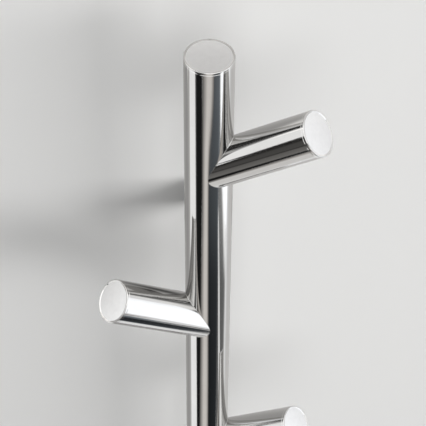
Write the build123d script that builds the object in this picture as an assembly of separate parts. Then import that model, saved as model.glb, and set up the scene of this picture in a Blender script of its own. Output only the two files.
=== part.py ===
from build123d import *
import math
import os

# Wall hook rack: a vertical polished tube that carries five angled pegs, held
# off the wall by two short sleeves that slide over screwed-on wall bosses.
#
# Frame: the wall is the plane Y = 0 and lies on the +Y side, +Z is up and +X is
# to the right as the rack is looked at. The origin is on the wall, at the centre
# of the upper fixing.

# ---------------------------------------------------------------- dimensions
# all in millimetres and degrees

# main tube
TUBE_D = 20.0            # outside diameter
TUBE_WALL = 1.5
STAND_OFF = 45.0         # wall plane to the tube's axis

# pegs
PEG_COUNT = 5            # right, left, right, left, right from the top
PEG_D = 19.0             # a millimetre under the tube, so that the cope closes
PEG_WALL = 1.5
PEG_PITCH = 98.0         # height from one peg axis to the next on the tube
PEG_END_MARGIN = 61.0    # end of the rack to the nearest peg axis
PEG_AZIMUTH = 68.0       # swing to the side, from straight out of the wall
PEG_RISE = 37.5          # slope above the horizontal
PEG_REACH = 56.5         # tube axis to the peg's end face, along the peg

# end caps of the tube and of the pegs: a disc with a spigot behind it
CAP_T = 1.2              # disc thickness
CAP_EDGE = 0.4           # polished round-over at the edge of the disc
CAP_RIM = 1.0            # width of the polished, raised rim round the satin face
CAP_CREST = 0.1          # flat top of the rim, between its inner slope and its edge
CAP_RECESS = 0.22        # the satin face lies this far below the rim
SPIGOT_LEN = 6.0
SPIGOT_GAP = 0.05        # radial clearance in the tube's bore
SPIGOT_LEAD = 0.8        # lead-in chamfer on the spigot
SPIGOT_BORE = 10.0       # blind hollow in the spigot, as the caps are cup-shaped

# standoff sleeves, welded to the back of the tube
SLEEVE_D = 16.0
SLEEVE_BORE = 12.0
SLEEVE_WALL_GAP = 0.5    # free gap between the sleeve's end and the wall
SLEEVE_EDGE = 0.4
FIXING_DROP = 60.0       # first peg's axis down to the upper fixing
FIXING_PITCH = 3 * PEG_PITCH   # the lower fixing sits as far below the fourth peg

# wall bosses
BOSS_D = 11.9            # slides in the sleeve's bore
BOSS_LEN = 25.0
BOSS_EDGE = 0.8
BOSS_HOLE_D = 4.7        # clearance hole for the wall screw
BOSS_CSK_D = 8.5         # countersink, 90 degrees
BOSS_FLAT = 4.45         # axis to the flat that the grub screw bears on
BOSS_FLAT_END = 5.0      # the flat stops this far from the wall
BOSS_RELIEF_D = 9.4      # relief at the wall for the plug's collar
BOSS_RELIEF_T = 1.2

# grub screws, M5 with a 2.5 mm hex socket, fitted from below
GRUB_D = 5.0
GRUB_LEN = 4.0
GRUB_HOLE_D = 5.1
GRUB_Y = 12.0            # distance from the wall
GRUB_HEX = 2.5
GRUB_HEX_DEPTH = 2.0
GRUB_TIP_GAP = 0.05      # left between the tip and the boss's flat
GRUB_EDGE = 0.5

# wall screws, countersunk 4.5 x 70
SCREW_D = 4.5
SCREW_LEN = 70.0
SCREW_HEAD_D = 8.3
SCREW_RECESS = 4.4       # length of the cross recess
SCREW_RECESS_W = 1.1
SCREW_RECESS_DEPTH = 1.7
SCREW_TIP = 6.0

# wall plugs, 8 x 50 mm
PLUG_D = 8.0
PLUG_LEN = 50.0
PLUG_BORE_D = 4.6
PLUG_COLLAR_D = 9.0
PLUG_COLLAR_T = 1.0
PLUG_PLAIN = 14.0        # smooth length next to the wall's face
PLUG_RIB_PITCH = 4.0
PLUG_RIB_DEPTH = 0.45
PLUG_TIP_D = 6.0
PLUG_TIP_LEN = 4.0
PLUG_SLOT_W = 1.2
PLUG_SLOT_START = 17.0

# ------------------------------------------------------------ derived places
TUBE_R = TUBE_D / 2
RACK_LEN = 2 * PEG_END_MARGIN + (PEG_COUNT - 1) * PEG_PITCH
TOP = PEG_END_MARGIN + FIXING_DROP     # height above the upper fixing
BOTTOM = TOP - RACK_LEN
AXIS = Pos(0, -STAND_OFF, 0)

PEG_HEIGHTS = [TOP - PEG_END_MARGIN - i * PEG_PITCH for i in range(PEG_COUNT)]
PEG_SIDES = [1 if i % 2 == 0 else -1 for i in range(PEG_COUNT)]
FIXING_HEIGHTS = {"upper": 0.0, "lower": -FIXING_PITCH}

os.makedirs("parts", exist_ok=True)


def save(node, shape):
    """Write one piece to its own file."""
    export_step(shape, os.path.join("parts", node + ".step"))


def rod(r, z0, z1):
    """Round bar along Z from z0 to z1."""
    return Pos(0, 0, (z0 + z1) / 2) * Cylinder(r, z1 - z0)


def pipe(r, wall, z0, z1):
    """Round tube along Z from z0 to z1."""
    return rod(r, z0, z1) - rod(r - wall, z0 - 1, z1 + 1)


def turned(points):
    """Solid of revolution about Z from (radius, height) points."""
    face = make_face(Polyline([(r, 0, z) for r, z in points], close=True))
    return revolve(face, Axis.Z, 360)


def end_cap(r, bore_r):
    """Cup-shaped cap along Z. The disc's outer face is at Z = 0, the tube below."""
    s = bore_r - SPIGOT_GAP
    low = -CAP_T - SPIGOT_LEN
    cap = turned([
        (0, -CAP_RECESS),
        (r - CAP_RIM, -CAP_RECESS),
        (r - CAP_EDGE - CAP_CREST, 0),
        (r, 0),
        (r, -CAP_T),
        (s, -CAP_T),
        (s, low + SPIGOT_LEAD),
        (s - SPIGOT_LEAD, low),
        (SPIGOT_BORE / 2, low),
        (SPIGOT_BORE / 2, -CAP_T),
        (0, -CAP_T),
    ])
    outer = cap.edges().group_by(Axis.Z)[-1].sort_by(SortBy.LENGTH)[-1]
    return fillet(outer, CAP_EDGE)


# ------------------------------------------------------------------ main tube
cope = AXIS * rod(TUBE_R, -2 * RACK_LEN, 2 * RACK_LEN)
save("main_tube", AXIS * pipe(TUBE_R, TUBE_WALL, BOTTOM + CAP_T, TOP - CAP_T))
save("top_end_cap", AXIS * Pos(0, 0, TOP) * end_cap(TUBE_R, TUBE_R - TUBE_WALL))
save("bottom_end_cap", AXIS * Pos(0, 0, BOTTOM) * Rot(180, 0, 0)
     * end_cap(TUBE_R, TUBE_R - TUBE_WALL))

# ----------------------------------------------------------------------- pegs
a, e = math.radians(PEG_AZIMUTH), math.radians(PEG_RISE)
for i, (height, side) in enumerate(zip(PEG_HEIGHTS, PEG_SIDES), start=1):
    along = Vector(side * math.sin(a) * math.cos(e),
                   -math.cos(a) * math.cos(e),
                   math.sin(e))
    sideways = Vector(0, 0, 1).cross(along).normalized()
    at = Plane(origin=(0, -STAND_OFF, height), x_dir=sideways,
               z_dir=along).location
    hand = "right" if side > 0 else "left"
    peg = at * pipe(PEG_D / 2, PEG_WALL, 0, PEG_REACH - CAP_T) - cope
    save("peg_%d_%s" % (i, hand), peg)
    save("peg_%d_end_cap" % i,
         at * Pos(0, 0, PEG_REACH) * end_cap(PEG_D / 2, PEG_D / 2 - PEG_WALL))

# --------------------------------------------------------------- wall fixings
# local Z of a fixing runs out of the room into the wall, along +Y
for place, height in FIXING_HEIGHTS.items():
    into_wall = Plane(origin=(0, 0, height), x_dir=(1, 0, 0),
                      z_dir=(0, 1, 0)).location

    # sleeve, coped to the tube, with the tapped hole for the grub screw
    sleeve = into_wall * turned([
        (SLEEVE_BORE / 2, -STAND_OFF),
        (SLEEVE_D / 2, -STAND_OFF),
        (SLEEVE_D / 2, -SLEEVE_WALL_GAP - SLEEVE_EDGE),
        (SLEEVE_D / 2 - SLEEVE_EDGE, -SLEEVE_WALL_GAP),
        (SLEEVE_BORE / 2 + SLEEVE_EDGE, -SLEEVE_WALL_GAP),
        (SLEEVE_BORE / 2, -SLEEVE_WALL_GAP - SLEEVE_EDGE),
    ]) - cope
    down = Plane(origin=(0, -GRUB_Y, height), x_dir=(1, 0, 0),
                 z_dir=(0, 0, -1)).location
    sleeve = sleeve - down * rod(GRUB_HOLE_D / 2, 1, SLEEVE_D)
    save(place + "_standoff_sleeve", sleeve)

    # boss, countersunk at its front end and relieved at the wall
    b, h, c, rl = BOSS_D / 2, BOSS_HOLE_D / 2, BOSS_CSK_D / 2, BOSS_RELIEF_D / 2
    boss = turned([
        (h, -BOSS_LEN + c - h),
        (c, -BOSS_LEN),
        (b - BOSS_EDGE, -BOSS_LEN),
        (b, -BOSS_LEN + BOSS_EDGE),
        (b, 0),
        (rl, 0),
        (rl, -BOSS_RELIEF_T),
        (h, -BOSS_RELIEF_T),
    ])
    flat_len = BOSS_LEN - BOSS_FLAT_END
    # local Y of the fixing points down
    boss = boss - Pos(0, BOSS_FLAT + BOSS_D / 2,
                      -BOSS_LEN - 1 + (flat_len + 1) / 2) \
        * Box(2 * BOSS_D, BOSS_D, flat_len + 1)
    save(place + "_wall_boss", into_wall * boss)

    # grub screw with a hex socket and a chamfered tip
    tip = BOSS_FLAT + GRUB_TIP_GAP
    g = GRUB_D / 2
    grub = turned([
        (0, tip), (g - GRUB_EDGE, tip), (g, tip + GRUB_EDGE),
        (g, tip + GRUB_LEN - 0.3), (g - 0.3, tip + GRUB_LEN),
        (0, tip + GRUB_LEN),
    ])
    key = Pos(0, 0, tip + GRUB_LEN - GRUB_HEX_DEPTH) * extrude(
        RegularPolygon(GRUB_HEX / math.sqrt(3), 6), GRUB_HEX_DEPTH + 1)
    save(place + "_grub_screw", down * (grub - key))

    # wall screw: its head lies in the countersink, just under the boss's face
    s, hd = SCREW_D / 2, SCREW_HEAD_D / 2
    head_z = -BOSS_LEN + (c - hd)
    screw = turned([
        (0, head_z), (hd, head_z), (s, head_z + hd - s),
        (s, head_z + SCREW_LEN - SCREW_TIP), (0.3, head_z + SCREW_LEN),
        (0, head_z + SCREW_LEN),
    ])
    recess = Box(SCREW_RECESS, SCREW_RECESS_W, 2 * SCREW_RECESS_DEPTH) \
        + Box(SCREW_RECESS_W, SCREW_RECESS, 2 * SCREW_RECESS_DEPTH)
    save(place + "_wall_screw", into_wall * (screw - Pos(0, 0, head_z) * recess))

    # wall plug: collar in the boss's relief, ribbed and slit behind
    p, q = PLUG_D / 2, PLUG_BORE_D / 2
    outline = [(q, -PLUG_COLLAR_T), (PLUG_COLLAR_D / 2, -PLUG_COLLAR_T),
               (PLUG_COLLAR_D / 2, -0.1), (p, -0.1), (p, PLUG_PLAIN)]
    z = PLUG_PLAIN
    while z + PLUG_RIB_PITCH <= PLUG_LEN - PLUG_TIP_LEN + 0.01:
        outline += [(p - PLUG_RIB_DEPTH, z), (p, z + PLUG_RIB_PITCH - 0.6),
                    (p, z + PLUG_RIB_PITCH)]
        z += PLUG_RIB_PITCH
    outline += [(p - PLUG_RIB_DEPTH, z), (PLUG_TIP_D / 2, PLUG_LEN),
                (q, PLUG_LEN)]
    plug = turned(outline)
    slot_len = PLUG_LEN - PLUG_SLOT_START
    plug = plug - Pos(0, 0, PLUG_SLOT_START + slot_len / 2) \
        * Box(PLUG_SLOT_W, 4 * PLUG_D, slot_len + 0.001)
    save(place + "_wall_plug", into_wall * plug)
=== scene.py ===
import math

import bpy
import numpy as np
from mathutils import Matrix, Vector


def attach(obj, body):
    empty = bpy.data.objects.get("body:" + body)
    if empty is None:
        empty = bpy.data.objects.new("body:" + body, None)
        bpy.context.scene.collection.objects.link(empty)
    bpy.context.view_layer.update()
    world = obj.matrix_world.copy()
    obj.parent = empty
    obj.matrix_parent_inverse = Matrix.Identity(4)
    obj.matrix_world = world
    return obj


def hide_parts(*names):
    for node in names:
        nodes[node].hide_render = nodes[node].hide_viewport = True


# The look of a wall hook rack: one polished vertical tube with five angled
# pegs, on two hidden standoffs. All lengths below are millimetres in the row
# frame (wall plane Y = 0, +Z up, origin at the upper fixing) and are turned
# into metres when a mesh is made.

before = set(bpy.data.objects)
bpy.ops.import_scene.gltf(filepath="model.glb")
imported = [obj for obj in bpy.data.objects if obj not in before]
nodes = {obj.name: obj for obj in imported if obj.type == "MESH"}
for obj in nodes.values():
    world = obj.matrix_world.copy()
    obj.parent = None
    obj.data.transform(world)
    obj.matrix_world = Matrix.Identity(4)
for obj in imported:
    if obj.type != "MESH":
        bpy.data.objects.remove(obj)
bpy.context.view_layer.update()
scene = bpy.context.scene
MM = 0.001

TUBE_R, TUBE_WALL = 10.0, 1.5
PEG_R, PEG_WALL = 9.5, 1.5
STAND_OFF = 45.0
TOP, BOTTOM = 121.0, -393.0
PEG_HEIGHTS = (60.0, -38.0, -136.0, -234.0, -332.0)
PEG_AZIMUTH, PEG_RISE, PEG_REACH = math.radians(68.0), math.radians(37.5), 56.5
CAP_T, CAP_EDGE, CAP_RIM, CAP_RECESS, CAP_CROWN = 1.2, 0.4, 1.0, 0.22, 0.16
SPIGOT_LEN, SPIGOT_LEAD, SPIGOT_GAP, SPIGOT_BORE = 6.0, 0.8, 0.05, 5.0
SLEEVE_R, SLEEVE_BORE_R, SLEEVE_END, SLEEVE_EDGE = 8.0, 6.0, 44.5, 0.4
FIXINGS = {"upper": 0.0, "lower": -294.0}
GRUB_Y, GRUB_HOLE_R = 12.0, 2.55
WELD_R = 0.12            # polished weld fillet where a peg meets the tube
SEAM = 0.10              # hairline bevel at the seam between a tube and its cap

AXIS = np.array([0.0, -STAND_OFF, 0.0])


# ------------------------------------------------------------------- meshes
def basis(axis):
    """Two directions square to an axis, and the axis itself."""
    w = np.array(axis, float)
    w /= np.linalg.norm(w)
    u = np.cross([0.0, 0.0, 1.0], w)
    if np.linalg.norm(u) < 1e-6:
        u = np.array([1.0, 0.0, 0.0])
    u /= np.linalg.norm(u)
    return u, np.cross(w, u), w


class Shell:
    """A closed mesh made of rings of points, with its exact normals."""

    def __init__(self, origin, axis, n):
        self.o = np.array(origin, float)
        self.u, self.v, self.w = basis(axis)
        self.n = n
        self.t = np.arange(n) * 2 * math.pi / n
        self.radial = (np.cos(self.t)[:, None] * self.u
                       + np.sin(self.t)[:, None] * self.v)
        self.points, self.faces, self.normals, self.mats = [], [], [], []

    def ring(self, pts):
        start = len(self.points)
        self.points.extend(np.asarray(pts, float).tolist())
        return start

    def circle(self, r, z):
        return self.ring(self.o + r * self.radial + z * self.w)

    def slope(self, nr, nw):
        """Normals of a turned surface: nr outwards and nw along the axis."""
        k = math.hypot(nr, nw)
        return (nr * self.radial + nw * self.w) / k

    def _face(self, idx, nrm, mat):
        p = [np.array(self.points[i]) for i in idx[:3]]
        if np.dot(np.cross(p[1] - p[0], p[2] - p[0]), np.mean(nrm, axis=0)) < 0:
            idx, nrm = idx[::-1], nrm[::-1]
        self.faces.append(idx)
        self.normals.extend([tuple(v) for v in nrm])
        self.mats.append(mat)

    def band(self, a, b, na, nb, mat=0):
        n = self.n
        for i in range(n):
            j = (i + 1) % n
            self._face([a + i, a + j, b + j, b + i],
                       [na[i], na[j], nb[j], nb[i]], mat)

    def fan(self, a, z, normal, mat=0):
        c = self.ring([self.o + z * self.w])
        n = self.n
        for i in range(n):
            self._face([a + i, a + (i + 1) % n, c], [normal] * 3, mat)

    def build(self, name, materials):
        pts = np.array(self.points)
        me = bpy.data.meshes.new(name)
        me.from_pydata((pts * MM).tolist(), [], [list(f) for f in self.faces])
        for m in materials:
            me.materials.append(m)
        me.polygons.foreach_set("material_index", self.mats)
        me.polygons.foreach_set("use_smooth", [True] * len(me.polygons))
        rel = pts - self.o
        loc = np.stack([rel @ self.u, rel @ self.v, rel @ self.w], axis=1)
        at = me.attributes.new("loc", "FLOAT_VECTOR", "POINT")
        at.data.foreach_set("vector", loc.astype(np.float32).ravel())
        me.update()
        me.normals_split_custom_set(self.normals)
        me.update()
        ob = bpy.data.objects.new(name, me)
        scene.collection.objects.link(ob)
        return ob


def straight_tube(r, wall, z0, z1, n):
    """The main tube, with a hairline bevel at both ends."""
    s = Shell(AXIS, (0, 0, 1), n)
    out, inn = s.slope(1, 0), s.slope(-1, 0)
    low, high = s.slope(0, -1), s.slope(0, 1)
    lowb, highb = s.slope(1, -1), s.slope(1, 1)
    a = s.circle(r - SEAM, z0)
    b = s.circle(r, z0 + SEAM)
    c = s.circle(r, z1 - SEAM)
    d = s.circle(r - SEAM, z1)
    e = s.circle(r - wall, z1)
    f = s.circle(r - wall, z0)
    s.band(a, b, lowb, lowb)
    s.band(b, c, out, out)
    s.band(c, d, highb, highb)
    s.band(d, e, high, high)
    s.band(e, f, inn, inn)
    s.band(f, a, low, low)
    return s


def reach(s, r, big):
    """Distance along a branch's axis where its skin of radius r meets a
    cylinder of radius big about the main tube's axis."""
    a = s.w[:2]
    b = r * s.radial[:, :2]
    ab, aa = b @ a, float(a @ a)
    return (-ab + np.sqrt(ab ** 2 - aa * ((b ** 2).sum(1) - big ** 2))) / aa


def branch(origin, axis, r, r_in, end, edge_out, edge_in, n, weld=WELD_R, arc=8,
           stations=()):
    """A tube coped on to the main tube, with a rolled weld fillet at its foot."""
    s = Shell(origin, axis, n)
    out, inn = s.slope(1, 0), s.slope(-1, 0)
    # rolling-ball fillet between the branch and the main tube
    q_s = reach(s, r + weld, TUBE_R + weld)
    q = s.o + q_s[:, None] * s.w + (r + weld) * s.radial
    to_branch = -s.radial
    flat = q - s.o
    flat[:, 2] = 0
    to_tube = -flat / np.linalg.norm(flat, axis=1)[:, None]
    ang = np.arccos(np.clip((to_branch * to_tube).sum(1), -1, 1))[:, None]
    rings, norms = [], []
    for k in range(arc + 1):
        f = k / arc
        d = (np.sin((1 - f) * ang) * to_tube + np.sin(f * ang) * to_branch) / np.sin(ang)
        p = q + weld * d
        if k == 0:
            p = p + 0.02 * to_tube           # a hair inside the main tube's skin
        rings.append(s.ring(p))
        norms.append(-d)
    # foot: hidden face on the main tube
    foot = s.ring(s.o + reach(s, r_in, TUBE_R - 0.03)[:, None] * s.w + r_in * s.radial)
    s.band(foot, rings[0], to_tube, to_tube)
    for k in range(arc):
        s.band(rings[k], rings[k + 1], norms[k], norms[k + 1])
    last = rings[-1]
    for z in stations:
        nxt = s.circle(r, z)
        s.band(last, nxt, out, out)
        last = nxt
    e1 = s.circle(r, end - edge_out)
    e2 = s.circle(r - edge_out, end)
    s.band(last, e1, out, out)
    s.band(e1, e2, s.slope(1, 1), s.slope(1, 1))
    if edge_in > 0:
        e3 = s.circle(r_in + edge_in, end)
        e4 = s.circle(r_in, end - edge_in)
        s.band(e2, e3, s.slope(0, 1), s.slope(0, 1))
        s.band(e3, e4, s.slope(-1, 1), s.slope(-1, 1))
    else:
        e4 = s.circle(r_in, end)
        s.band(e2, e4, s.slope(0, 1), s.slope(0, 1))
    last = e4
    for z in reversed(stations):
        nxt = s.circle(r_in, z)
        s.band(last, nxt, inn, inn)
        last = nxt
    s.band(last, foot, inn, inn)
    return s


def end_cap(centre, axis, r, bore_r, n):
    """A cup-shaped cap: a slightly crowned satin face inside a polished,
    raised rim, with the spigot behind."""
    s = Shell(centre, axis, n)
    down = s.slope(0, -1)
    out, inn = s.slope(1, 0), s.slope(-1, 0)
    SATIN, POLISHED = 1, 0
    face_r = r - CAP_RIM

    def face_z(rr):
        return -CAP_RECESS + CAP_CROWN * (1 - (rr / face_r) ** 2)

    def face_n(rr):
        return s.slope(2 * CAP_CROWN * rr / face_r ** 2, 1)

    radii = [0.8] + [face_r * k / 6 for k in range(1, 7)]
    last = s.circle(radii[0], face_z(radii[0]))
    s.fan(last, face_z(0), s.w, SATIN)
    for r0, r1 in zip(radii, radii[1:]):
        nxt = s.circle(r1, face_z(r1))
        s.band(last, nxt, face_n(r0), face_n(r1), SATIN)
        last = nxt
    # inner slope of the rim, tangent to the round-over that follows it
    across, depth = CAP_RIM - CAP_EDGE, CAP_EDGE - CAP_RECESS
    lean = math.asin(CAP_EDGE / math.hypot(across, depth)) - math.atan2(depth, across)
    steps = 14
    turn = [-lean + (lean + math.pi / 2) * k / steps for k in range(steps + 1)]
    bank = s.slope(-math.sin(lean), math.cos(lean))
    for k, t in enumerate(turn):
        nxt = s.circle(r - CAP_EDGE + CAP_EDGE * math.sin(t),
                       -CAP_EDGE + CAP_EDGE * math.cos(t))
        here = s.slope(math.sin(t), math.cos(t))
        s.band(last, nxt, bank if k == 0 else before, here, POLISHED)
        last, before = nxt, here
    rows = [
        (r, -CAP_T + SEAM, out, out),
        (r - SEAM, -CAP_T, s.slope(1, -1), s.slope(1, -1)),
        (bore_r - SPIGOT_GAP, -CAP_T, down, down),
        (bore_r - SPIGOT_GAP, -CAP_T - SPIGOT_LEN + SPIGOT_LEAD, out, out),
        (bore_r - SPIGOT_GAP - SPIGOT_LEAD, -CAP_T - SPIGOT_LEN,
         s.slope(1, -1), s.slope(1, -1)),
        (SPIGOT_BORE, -CAP_T - SPIGOT_LEN, down, down),
        (SPIGOT_BORE, -CAP_T, inn, inn),
    ]
    for rr, z, na, nb in rows:
        nxt = s.circle(rr, z)
        s.band(last, nxt, na, nb, POLISHED)
        last = nxt
    s.fan(last, -CAP_T, -s.w, POLISHED)
    return s


# ---------------------------------------------------------------- materials
def material(name):
    m = bpy.data.materials.new(name)
    m.use_nodes = True
    nt = m.node_tree
    nt.nodes.clear()
    out = nt.nodes.new("ShaderNodeOutputMaterial")
    out.location = (600, 0)
    bsdf = nt.nodes.new("ShaderNodeBsdfPrincipled")
    bsdf.location = (300, 0)
    nt.links.new(bsdf.outputs["BSDF"], out.inputs["Surface"])
    return m, nt, bsdf


def node(nt, kind, **values):
    nd = nt.nodes.new(kind)
    for k, v in values.items():
        if k in ("operation", "blend_type", "data_type", "attribute_name", "noise_dimensions",
                 "wave_type", "bands_direction", "rings_direction", "wave_profile", "feature",
                 "interpolation_type", "vector_type"):
            setattr(nd, k, v)
        else:
            nd.inputs[k.replace("_", " ")].default_value = v
    return nd


def local_coordinates(nt):
    return node(nt, "ShaderNodeAttribute", attribute_name="loc").outputs["Vector"]


def stretched_noise(nt, coords, stretch, scale, detail=3.0, rough=0.55):
    mp = node(nt, "ShaderNodeMapping", Scale=stretch)
    nt.links.new(coords, mp.inputs["Vector"])
    nz = node(nt, "ShaderNodeTexNoise", Scale=scale, Detail=detail, Roughness=rough)
    nt.links.new(mp.outputs["Vector"], nz.inputs["Vector"])
    return nz.outputs["Fac"]


def spread(nt, value, a, b, lo=0.3, hi=0.7):
    mr = node(nt, "ShaderNodeMapRange")
    mr.inputs["From Min"].default_value = lo
    mr.inputs["From Max"].default_value = hi
    mr.inputs["To Min"].default_value = a
    mr.inputs["To Max"].default_value = b
    nt.links.new(value, mr.inputs["Value"])
    return mr.outputs["Result"]


def combine(nt, op, x, y):
    mt = node(nt, "ShaderNodeMath", operation=op)
    for sock, v in zip(mt.inputs, (x, y)):
        if isinstance(v, (int, float)):
            sock.default_value = v
        else:
            nt.links.new(v, sock)
    return mt.outputs["Value"]


def tint(nt, fac, a, b):
    mx = nt.nodes.new("ShaderNodeMix")
    mx.data_type = "RGBA"
    nt.links.new(fac, mx.inputs[0])
    mx.inputs[6].default_value = (*a, 1)
    mx.inputs[7].default_value = (*b, 1)
    return mx.outputs[2]


def relief(nt, bsdf, height, distance, strength=1.0):
    bp = node(nt, "ShaderNodeBump", Strength=strength, Distance=distance)
    nt.links.new(height, bp.inputs["Height"])
    nt.links.new(bp.outputs["Normal"], bsdf.inputs["Normal"])


def polished_steel(name, coords_of, r_lo, r_hi, light, dark, line_depth):
    """Mirror-polished stainless steel: fine polishing lines along the tube,
    faint hand smudges and a few hairline scratches."""
    m, nt, b = material(name)
    co = coords_of(nt)
    lines = stretched_noise(nt, co, (1.0, 1.0, 0.010), 3.2, 4.0, 0.62)
    smudge = stretched_noise(nt, co, (1.0, 1.0, 0.6), 0.085, 3.0, 0.6)
    hair = stretched_noise(nt, co, (1.0, 1.0, 0.05), 9.0, 1.0, 0.4)
    scratch = spread(nt, hair, 0.0, 0.05, 0.70, 0.78)
    base = spread(nt, smudge, r_lo, r_hi)
    rough = combine(nt, "ADD", base, combine(nt, "MULTIPLY", lines, 0.02))
    rough = combine(nt, "ADD", rough, scratch)
    nt.links.new(rough, b.inputs["Roughness"])
    nt.links.new(tint(nt, spread(nt, smudge, 0.0, 1.0), light, dark), b.inputs["Base Color"])
    b.inputs["Metallic"].default_value = 1.0
    relief(nt, b, lines, line_depth)
    return m


def satin_steel(name):
    """Fine-turned cap face: close concentric tool marks under a soft satin."""
    m, nt, b = material(name)
    co = local_coordinates(nt)
    flat = node(nt, "ShaderNodeVectorMath", operation="MULTIPLY")
    nt.links.new(co, flat.inputs[0])
    flat.inputs[1].default_value = (1, 1, 0)
    ln = node(nt, "ShaderNodeVectorMath", operation="LENGTH")
    nt.links.new(flat.outputs["Vector"], ln.inputs[0])
    radius = ln.outputs["Value"]
    rings = node(nt, "ShaderNodeTexNoise", noise_dimensions="1D", Scale=5.5, Detail=3.0,
                 Roughness=0.7)
    nt.links.new(radius, rings.inputs["W"])
    cloud = stretched_noise(nt, co, (1, 1, 1), 0.32, 3.0, 0.6)
    rough = combine(nt, "ADD", spread(nt, cloud, 0.30, 0.37),
                    combine(nt, "MULTIPLY", rings.outputs["Fac"], 0.05))
    nt.links.new(rough, b.inputs["Roughness"])
    nt.links.new(tint(nt, spread(nt, cloud, 0.0, 1.0), (0.775, 0.775, 0.775), (0.725, 0.725, 0.725)),
                 b.inputs["Base Color"])
    b.inputs["Metallic"].default_value = 1.0
    relief(nt, b, rings.outputs["Fac"], 2.0e-6)
    return m


def object_coordinates(nt):
    """Row-frame position in millimetres, for pieces that keep their CAD shape."""
    tc = nt.nodes.new("ShaderNodeTexCoord")
    mp = node(nt, "ShaderNodeMapping", Scale=(1000, 1000, 1000))
    nt.links.new(tc.outputs["Object"], mp.inputs["Vector"])
    return mp.outputs["Vector"]


def turned_steel(name):
    """Lathe-turned boss: fine rings along its length."""
    m, nt, b = material(name)
    co = object_coordinates(nt)
    rings = stretched_noise(nt, co, (0.02, 1.0, 0.02), 4.5, 3.0, 0.65)
    cloud = stretched_noise(nt, co, (1, 1, 1), 0.25, 3.0, 0.6)
    nt.links.new(combine(nt, "ADD", spread(nt, rings, 0.20, 0.34), spread(nt, cloud, 0.0, 0.08)),
                 b.inputs["Roughness"])
    nt.links.new(tint(nt, spread(nt, cloud, 0.0, 1.0), (0.64, 0.635, 0.62), (0.56, 0.555, 0.54)),
                 b.inputs["Base Color"])
    b.inputs["Metallic"].default_value = 1.0
    relief(nt, b, rings, 6.0e-6)
    return m


def black_oxide(name):
    m, nt, b = material(name)
    co = object_coordinates(nt)
    grain = stretched_noise(nt, co, (1, 1, 1), 3.0, 4.0, 0.6)
    wear = stretched_noise(nt, co, (1, 1, 1), 0.9, 3.0, 0.6)
    nt.links.new(spread(nt, grain, 0.30, 0.48), b.inputs["Roughness"])
    nt.links.new(tint(nt, spread(nt, wear, 0.0, 1.0, 0.45, 0.75), (0.045, 0.045, 0.05),
                      (0.16, 0.155, 0.15)), b.inputs["Base Color"])
    b.inputs["Metallic"].default_value = 0.9
    relief(nt, b, grain, 8.0e-6)
    return m


def zinc_plate(name):
    m, nt, b = material(name)
    co = object_coordinates(nt)
    grain = stretched_noise(nt, co, (1, 0.3, 1), 2.2, 4.0, 0.6)
    hue = stretched_noise(nt, co, (1, 1, 1), 0.35, 2.0, 0.5)
    nt.links.new(spread(nt, grain, 0.22, 0.40), b.inputs["Roughness"])
    nt.links.new(tint(nt, spread(nt, hue, 0.0, 1.0), (0.70, 0.71, 0.74), (0.74, 0.70, 0.60)),
                 b.inputs["Base Color"])
    b.inputs["Metallic"].default_value = 1.0
    relief(nt, b, grain, 6.0e-6)
    return m


def nylon(name):
    m, nt, b = material(name)
    co = object_coordinates(nt)
    grain = stretched_noise(nt, co, (1, 1, 1), 2.6, 3.0, 0.6)
    flow = stretched_noise(nt, co, (1, 0.15, 1), 0.5, 3.0, 0.6)
    nt.links.new(spread(nt, grain, 0.40, 0.58), b.inputs["Roughness"])
    nt.links.new(tint(nt, spread(nt, flow, 0.0, 1.0), (0.50, 0.505, 0.51), (0.40, 0.405, 0.41)),
                 b.inputs["Base Color"])
    b.inputs["Subsurface Weight"].default_value = 0.05
    b.inputs["Subsurface Radius"].default_value = (0.001, 0.001, 0.001)
    relief(nt, b, grain, 2.0e-5)
    return m


STEEL = polished_steel("polished_stainless", local_coordinates, 0.035, 0.065,
                       (0.60, 0.596, 0.588), (0.565, 0.561, 0.553), 1.2e-6)
SLEEVE_STEEL = polished_steel("polished_sleeve", local_coordinates, 0.06, 0.11,
                              (0.58, 0.575, 0.565), (0.54, 0.535, 0.525), 1.6e-6)
SATIN = satin_steel("satin_cap_face")
BOSS = turned_steel("turned_boss")
GRUB = black_oxide("black_oxide_grub")
SCREW = zinc_plate("zinc_plated_screw")
PLUG = nylon("grey_nylon_plug")


# ------------------------------------------------------------------- pieces
def place(ob, node_name, body="rack"):
    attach(ob, body)
    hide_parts(node_name)
    return ob


place(straight_tube(TUBE_R, TUBE_WALL, BOTTOM + CAP_T, TOP - CAP_T, 192)
      .build("main_tube_polished", [STEEL]), "main_tube")
place(end_cap(AXIS + [0, 0, TOP], (0, 0, 1), TUBE_R, TUBE_R - TUBE_WALL, 192)
      .build("top_cap_turned", [STEEL, SATIN]), "top_end_cap")
place(end_cap(AXIS + [0, 0, BOTTOM], (0, 0, -1), TUBE_R, TUBE_R - TUBE_WALL, 192)
      .build("bottom_cap_turned", [STEEL, SATIN]), "bottom_end_cap")

for i, height in enumerate(PEG_HEIGHTS, start=1):
    side = 1 if i % 2 else -1
    hand = "right" if side > 0 else "left"
    along = np.array([side * math.sin(PEG_AZIMUTH) * math.cos(PEG_RISE),
                      -math.cos(PEG_AZIMUTH) * math.cos(PEG_RISE),
                      math.sin(PEG_RISE)])
    foot = AXIS + [0, 0, height]
    peg = branch(foot, along, PEG_R, PEG_R - PEG_WALL, PEG_REACH - CAP_T, SEAM, 0.0, 192)
    place(peg.build("peg_%d_%s_polished" % (i, hand), [STEEL]),
          "peg_%d_%s" % (i, hand))
    cap = end_cap(foot + PEG_REACH * along, along, PEG_R, PEG_R - PEG_WALL, 160)
    place(cap.build("peg_%d_cap_turned" % i, [STEEL, SATIN]),
          "peg_%d_end_cap" % i)


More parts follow.
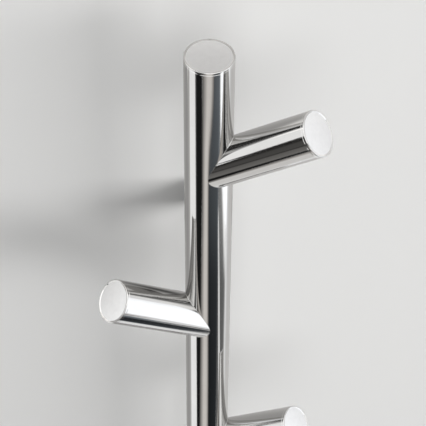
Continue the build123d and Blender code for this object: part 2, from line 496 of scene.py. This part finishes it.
def bored_sleeve(name, height):
    """Standoff sleeve with the tapped cross hole for its grub screw."""
    blank = branch(AXIS + [0, 0, height], (0, 1, 0), SLEEVE_R, SLEEVE_BORE_R, SLEEVE_END,
                   SLEEVE_EDGE, SLEEVE_EDGE, 128, weld=0.6, arc=8,
                   stations=(20.0, 28.0, 30.2, 33.0, 35.8, 38.0)).build(name, [SLEEVE_STEEL])
    drill = Shell([0, -GRUB_Y, height], (0, 0, -1), 48)
    out = drill.slope(1, 0)
    a, b = drill.circle(GRUB_HOLE_R, 2.0), drill.circle(GRUB_HOLE_R, 12.0)
    drill.band(a, b, out, out)
    drill.fan(a, 2.0, -drill.w)
    drill.fan(b, 12.0, drill.w)
    bit = drill.build(name + "_drill", [SLEEVE_STEEL])
    cut = blank.modifiers.new("cross_hole", "BOOLEAN")
    cut.operation, cut.solver, cut.object = "DIFFERENCE", "EXACT", bit
    bpy.context.view_layer.update()
    dg = bpy.context.evaluated_depsgraph_get()
    me = bpy.data.meshes.new_from_object(blank.evaluated_get(dg))
    blank.modifiers.clear()
    old, blank.data = blank.data, me
    me.name = name
    bpy.data.meshes.remove(old)
    bpy.data.meshes.remove(bit.data)
    return blank


for place_name, height in FIXINGS.items():
    sleeve = bored_sleeve(place_name + "_sleeve_polished", height)
    place(sleeve, place_name + "_standoff_sleeve")
    for suffix, mat in (("_wall_boss", BOSS), ("_grub_screw", GRUB),
                        ("_wall_screw", SCREW), ("_wall_plug", PLUG)):
        ob = nodes[place_name + suffix]
        ob.data.materials.clear()
        ob.data.materials.append(mat)


# -------------------------------------------------------------------- stage
def plain(name, colour, rough=0.9, one_sided=False, glow_of=(0, 0, 0)):
    m, nt, b = material(name)
    b.inputs["Base Color"].default_value = (*colour, 1)
    b.inputs["Roughness"].default_value = rough
    b.inputs["Specular IOR Level"].default_value = 0.2
    b.inputs["Emission Color"].default_value = (*glow_of, 1)
    b.inputs["Emission Strength"].default_value = 1.0
    if one_sided:
        geo = nt.nodes.new("ShaderNodeNewGeometry")
        clear = nt.nodes.new("ShaderNodeBsdfTransparent")
        mix = nt.nodes.new("ShaderNodeMixShader")
        out = next(n for n in nt.nodes if n.type == "OUTPUT_MATERIAL")
        nt.links.new(geo.outputs["Backfacing"], mix.inputs[0])
        nt.links.new(b.outputs["BSDF"], mix.inputs[1])
        nt.links.new(clear.outputs["BSDF"], mix.inputs[2])
        nt.links.new(mix.outputs["Shader"], out.inputs["Surface"])
    return m


def quad(name, corners, mat):
    me = bpy.data.meshes.new(name)
    me.from_pydata(corners, [], [(0, 1, 2, 3)])
    me.materials.append(mat)
    ob = bpy.data.objects.new(name, me)
    scene.collection.objects.link(ob)
    return ob


def only_reflected(ob):
    """Seen in the steel, and nowhere else."""
    ob.visible_camera = ob.visible_diffuse = ob.visible_shadow = False
    ob.visible_transmission = ob.visible_volume_scatter = False
    ob.visible_glossy = True


FLOOR_Z = -1.75
wall = quad("stage_wall", [(-1.2, 0, FLOOR_Z), (1.2, 0, FLOOR_Z), (1.2, 0, 2.6), (-1.2, 0, 2.6)],
            plain("pale_wall", (0.74, 0.74, 0.735), one_sided=True))
wall.visible_glossy = False
floor = quad("stage_floor", [(-12, -12, FLOOR_Z), (12, -12, FLOOR_Z), (12, 8, FLOOR_Z),
                             (-12, 8, FLOOR_Z)],
             plain("pale_floor", (0.16, 0.16, 0.158), glow_of=(0.62, 0.618, 0.612)))
floor.visible_glossy = floor.visible_diffuse = False


CARD_GAIN = 1.12


def glow(name, pts, rad, faces):
    """A stage surface that only gives the steel something to reflect."""
    rad = [(CARD_GAIN * r, CARD_GAIN * g, CARD_GAIN * b, 1.0) for r, g, b, _ in rad]
    me = bpy.data.meshes.new(name)
    me.from_pydata(pts, [], faces)
    at = me.attributes.new("radiance", "FLOAT_COLOR", "POINT")
    at.data.foreach_set("color", np.array(rad, np.float32).ravel())
    m = bpy.data.materials.new(name)
    m.use_nodes = True
    nt = m.node_tree
    nt.nodes.clear()
    out = nt.nodes.new("ShaderNodeOutputMaterial")
    em = nt.nodes.new("ShaderNodeEmission")
    tone = node(nt, "ShaderNodeAttribute", attribute_name="radiance")
    nt.links.new(tone.outputs["Color"], em.inputs["Color"])
    nt.links.new(em.outputs["Emission"], out.inputs["Surface"])
    me.materials.append(m)
    ob = bpy.data.objects.new(name, me)
    scene.collection.objects.link(ob)
    only_reflected(ob)
    return ob


# the wall as the steel sees it, a glowing copy with its light and shade painted in:
# painted shade behind the rack, painted light to both sides and above it
# (position across, brightness beside the rack, brightness above), with a painted shadow under
# each standoff and painted highlight patches that show in the caps' rims
# (across, up, half width, half height, brightness)
painted_light_strips = ((-300, 0.78, 1.50), (-160, 0.50, 1.30), (-75, 0.34, 0.80), (0, 0.42, 0.54),
          (50, 0.60, 0.70), (150, 0.71, 0.96), (300, 0.98, 1.20), (450, 1.15, 1.28))
painted_glints = ((0, 132, 75, 19, 0.95), (105, 85, 18, 32, 1.3), (-175, 85, 35, 35, 1.5),
          (-135, 28, 22, 26, 1.5))


def painted_wall_light(x, z):
    """Painted brightness of the wall copy at x, z millimetres: painted shade, painted standoff
    shadows and painted highlight patches.
    """
    across = [p[0] for p in painted_light_strips]
    beside = float(np.interp(x, across, [p[1] for p in painted_light_strips]))
    above = float(np.interp(x, across, [p[2] for p in painted_light_strips]))
    low, high = (float(np.interp(abs(x), (60, 160), r)) for r in ((100, 77), (140, 111)))
    v = beside + float(np.interp(z, (low, high), (0, 1))) * (above - beside)
    # painted shadow under each standoff
    for height in FIXINGS.values():
        v *= 1 - 0.85 * math.exp(-(x / 30) ** 2 - ((z - height + 20) / 10) ** 2)
    # painted highlight patches, raising the wall copy up to each patch's brightness
    for gx, gz, wide, tall, level in painted_glints:
        v += max(0.0, level - v) * math.exp(-((x - gx) / wide) ** 4 - ((z - gz) / tall) ** 4)
    return v


def painted_wall_tone(x, z):
    """Colour of the painted wall copy at x, z millimetres: a little warm, cooler far to the right.
    """
    v, cool = painted_wall_light(x, z), float(np.interp(x, (80, 220), (0, 1)))
    return v, (0.985 + 0.015 * cool) * v, (0.965 + 0.045 * cool) * v, 1.0


across = ([-300, -240] + list(range(-220, -60, 10)) + list(range(-60, 61, 4))
          + list(range(70, 221, 10)) + [300, 450])
upward = [-750] + list(range(-360, 181, 4)) + [1500]
k = len(upward)
# a glowing copy of the wall, seen only in the steel, with its light and shade painted in
glow("stage_wall_painted_light_in_steel",
     [(x * MM, -0.0004, z * MM) for x in across for z in upward],
     [painted_wall_tone(x, z) for x in across for z in upward],
     [(k * i + j, k * i + k + j, k * i + k + j + 1, k * i + j + 1)
      for i in range(len(across) - 1) for j in range(k - 1)])

CARD_CENTRE = np.array([0.0, -0.05, -0.009])


def card(name, rows, colours, far=8.0, tone=(1.0, 1.0, 1.0)):
    """A studio card on a sphere round the rack. rows are (elevation, azimuth from,
    azimuth to, strength) in degrees, azimuth 0 towards the viewer and 90 to the
    right; colours are (share of the width, brightness)."""
    cols = 32
    shares, levels = [c[0] for c in colours], [c[1] for c in colours]
    rows = [tuple(r) + (1.0,) * (4 - len(r)) for r in rows]
    grid = []
    for r0, r1 in zip(rows, rows[1:]):
        k = max(1, int(abs(r1[0] - r0[0]) / 3))
        for j in range(k):
            grid.append(tuple(p + (q - p) * j / k for p, q in zip(r0, r1)))
    grid.append(rows[-1])
    pts, rad, faces = [], [], []
    for el, a, b, strength in grid:
        for i in range(cols + 1):
            f = i / cols
            az, e = math.radians(a + f * (b - a)), math.radians(el)
            d = np.array([math.sin(az) * math.cos(e), -math.cos(az) * math.cos(e), math.sin(e)])
            pts.append((CARD_CENTRE + far * d).tolist())
            v = strength * float(np.interp(f, shares, levels))
            rad.append((v * tone[0], v * tone[1], v * tone[2], 1.0))
    for j in range(len(grid) - 1):
        for i in range(cols):
            p = j * (cols + 1) + i
            faces.append((p, p + 1, p + cols + 2, p + cols + 1))
    return glow(name, pts, rad, faces)


def even(v):
    return [(0.0, v), (1.0, v)]


WARM, COOL = (1.0, 0.955, 0.91), (0.97, 0.99, 1.02)
# big soft panels to the right, to the left and overhead
card("card_right", [(14, 60, 112), (9, 54, 112), (4, 46, 112), (-20, 47.5, 112),
                    (-32, 52, 112), (-38, 52, 112), (-43, 50, 112), (-44.5, 53, 112),
                    (-46, 66, 112), (-48, 87, 112)],
     [(0.0, 1.6), (0.6, 1.6), (1.0, 0.95)], tone=COOL)
card("card_right_soft", [(-6, 76, 104), (-30, 76, 104)],
     [(0.0, 1.5), (0.2, 1.28), (0.8, 1.28), (1.0, 1.15)], far=7.7, tone=COOL)
card("card_strip", [(-47.5, 44, 49), (-50, 49.5, 58.5), (-53, 56, 67), (-55.5, 61, 70)],
     even(0.9), far=7.6)
card("card_left", [(19, -112, -76), (10, -112, -76), (2, -112, -72), (-38, -112, -69),
                   (-50, -112, -66), (-55, -112, -63), (-62, -112, -62)], even(1.13))
card("card_rim_high", [(16, -74, -60), (12, -72, -60), (6, -70.5, -61), (3, -68.8, -61.5),
                       (2.2, -67.9, -62)], even(1.15), far=7.3)
card("card_rim_low", [(-1.2, -73, -69.2), (-4, -73, -67.5), (-12, -78, -67)], even(1.15), far=7.3)
card("card_top", [(48, -180, 180), (88, -180, 180)], even(1.6), far=8.3)
card("card_brow_left", [(60, -112, -30), (46, -112, -30)],
     [(0.0, 0.6), (0.6, 0.5), (1.0, 0.6)], far=8.1)
card("card_brow_right", [(60, 45, 112), (46, 45, 112)], even(0.9), far=8.1)
card("card_high", [(48, -112, 112), (17, -112, 112)],
     [(0.0, 1.7), (0.7, 1.7), (0.8, 1.25), (1.0, 1.25)], far=8.2)
# the dim side of the studio, where the camera stands
card("card_dim", [(6, -74, 46), (-38, -69, 49)],
     [(0.0, 0.05), (0.32, 0.06), (0.52, 0.78), (0.66, 0.76), (0.8, 0.14), (1.0, 0.12)],
     far=8.4, tone=WARM)
card("flag_over", [(29, 20, 46), (19.5, 0, 56), (19, -8, 62), (13.5, -8, 62)], even(0.055), far=7.6)
card("card_over", [(13, -40, 60), (6.5, -40, 60)],
     [(0.0, 0.15), (0.15, 0.3), (0.3, 0.8), (0.45, 1.7), (1.0, 1.8)], far=7.6)
card("flag_high", [(44, -58, -20), (36, -56, -18), (27, -46, -14), (21, -38, -12), (15, -30, -12)],
     [(0.0, 0.45), (0.12, 0.15), (0.3, 0.03), (0.75, 0.03), (1.0, 0.35)], far=7.4)
card("flag_left", [(13, -66, -44, 0.9), (3, -66, -44, 0.9), (1, -72.6, -44, 0.9),
                   (-19, -70, -44, 0.9), (-20.5, -70, -44, 0.5),
                   (-22, -70, -44, 0.5), (-23.5, -70, -44, 1.5), (-40, -69, -38, 2.1),
                   (-41, -69, -36, 0.3)],
     [(0.0, 0.018), (0.2, 0.018), (0.4, 0.09), (1.0, 0.1)], tone=(1.0, 0.97, 0.93))
card("flag_left_low", [(-41, -68.5, -34), (-44, -67, -33), (-47, -66, -33), (-50, -65.5, -38),
                       (-54, -63, -43), (-57.5, -62, -46)],
     [(0.0, 0.25), (0.2, 0.013), (0.85, 0.013), (1.0, 0.06)])
card("card_front", [(-38, -34, 19), (-43, -33, 19), (-44.2, -33, 11), (-45, -33, 2), (-46, -33, -2),
                    (-47.5, -33, -2), (-50, -38, -0.5), (-54, -43, 3), (-57.5, -46, 4)],
     [(0.0, 0.10), (0.46, 0.80), (0.75, 0.78), (1.0, 0.16)], tone=WARM)
card("flag_front", [(-38, 19, 46, 2.0), (-43, 19, 47, 2.0), (-44.2, 11, 48, 1.6), (-45, 2, 47, 1.4),
                    (-46, -2, 46, 1.2), (-47.5, -2, 44, 1.0), (-50, -0.5, 47, 0.45),
                    (-54, 3, 47, 0.3), (-60, 4, 46, 0.35), (-70, 4, 44, 0.6), (-72.5, 4, 44, 3.0)],
     [(0.0, 0.06), (0.85, 0.09), (1.0, 0.17)], tone=(0.90, 1.0, 1.10))
card("flag_right", [(-43, 47, 50, 2.0), (-44.5, 48, 54, 2.0), (-46, 46, 67, 2.0), (-47, 44, 80, 2.0),
                    (-48, 44.5, 88, 1.7), (-50, 47, 112), (-60, 47, 112, 1.2)],
     [(0.0, 0.12), (0.6, 0.17), (0.72, 0.6), (1.0, 0.8)])
# pale floor under the rack
card("card_floor_left", [(-57.5, -62, 2), (-88, -62, 2)], even(0.80), tone=(1.0, 0.985, 0.965))
card("card_floor_front", [(-72.5, 2, 60), (-88, 2, 60)], even(0.95))
card("card_floor_right", [(-60, 44, 112), (-72.5, 44, 112)], even(0.6), far=8.1)


def soft_light(name, at, to, size, watts, colour=(1, 1, 1)):
    data = bpy.data.lights.new(name, "AREA")
    data.shape, data.energy, data.color = "RECTANGLE", watts, colour
    data.size, data.size_y = size
    ob = bpy.data.objects.new(name, data)
    ob.location = at
    ob.rotation_euler = (Vector(to) - Vector(at)).to_track_quat("-Z", "Y").to_euler()
    ob.visible_glossy = False
    ob.visible_camera = False
    scene.collection.objects.link(ob)
    return ob


soft_light("light_right", (3.0, -1.9, 0.75), (0, 0, -0.1), (3.2, 1.6), 146.0, (1.0, 0.995, 0.985))
soft_light("light_front", (0.3, -2.4, 1.0), (0, 0, -0.1), (2.0, 2.0), 29.0)

world = bpy.data.worlds.new("studio")
scene.world = world
world.use_nodes = True
wn = world.node_tree
wn.nodes.clear()
w_out = wn.nodes.new("ShaderNodeOutputWorld")
w_mix = wn.nodes.new("ShaderNodeMixShader")
w_path = wn.nodes.new("ShaderNodeLightPath")
w_room = wn.nodes.new("ShaderNodeBackground")
w_room.inputs["Color"].default_value = (0.93, 0.93, 0.925, 1)
w_room.inputs["Strength"].default_value = 0.15
w_steel = wn.nodes.new("ShaderNodeBackground")
w_steel.inputs["Color"].default_value = (0.99, 0.99, 1.0, 1)
w_steel.inputs["Strength"].default_value = 1.06
w_pale = wn.nodes.new("ShaderNodeBackground")
w_pale.inputs["Color"].default_value = (0.72, 0.72, 0.715, 1)
w_back = wn.nodes.new("ShaderNodeMixShader")
wn.links.new(w_path.outputs["Is Glossy Ray"], w_mix.inputs[0])
wn.links.new(w_room.outputs["Background"], w_mix.inputs[1])
wn.links.new(w_steel.outputs["Background"], w_mix.inputs[2])
wn.links.new(w_path.outputs["Is Camera Ray"], w_back.inputs[0])
wn.links.new(w_mix.outputs["Shader"], w_back.inputs[1])
wn.links.new(w_pale.outputs["Background"], w_back.inputs[2])
wn.links.new(w_back.outputs["Shader"], w_out.inputs["Surface"])

# ------------------------------------------------------------------- camera
PITCH, YAW, ROLL = math.radians(47.79185), math.radians(3.18520), math.radians(0.53837)
FOCAL_PX, FRAME_PX = 1630.1, 426.0
fwd = Vector((math.sin(YAW) * math.cos(PITCH), math.cos(YAW) * math.cos(PITCH), -math.sin(PITCH)))
rt = Vector((math.cos(YAW), -math.sin(YAW), 0.0))
up = rt.cross(fwd)
right = math.cos(ROLL) * rt + math.sin(ROLL) * up
top = -math.sin(ROLL) * rt + math.cos(ROLL) * up
eye = Vector((-0.0236138, -0.5045443, 0.5395227))
cam_data = bpy.data.cameras.new("camera")
cam_data.sensor_width = 36.0
cam_data.lens = FOCAL_PX * 36.0 / FRAME_PX
cam_data.clip_start, cam_data.clip_end = 0.01, 50.0
cam = bpy.data.objects.new("camera", cam_data)
cam.matrix_world = Matrix(((right.x, top.x, -fwd.x, eye.x), (right.y, top.y, -fwd.y, eye.y),
                           (right.z, top.z, -fwd.z, eye.z), (0, 0, 0, 1)))
scene.collection.objects.link(cam)
scene.camera = cam

scene.view_settings.view_transform = "Standard"
scene.view_settings.look = "None"
scene.view_settings.exposure = 0.0
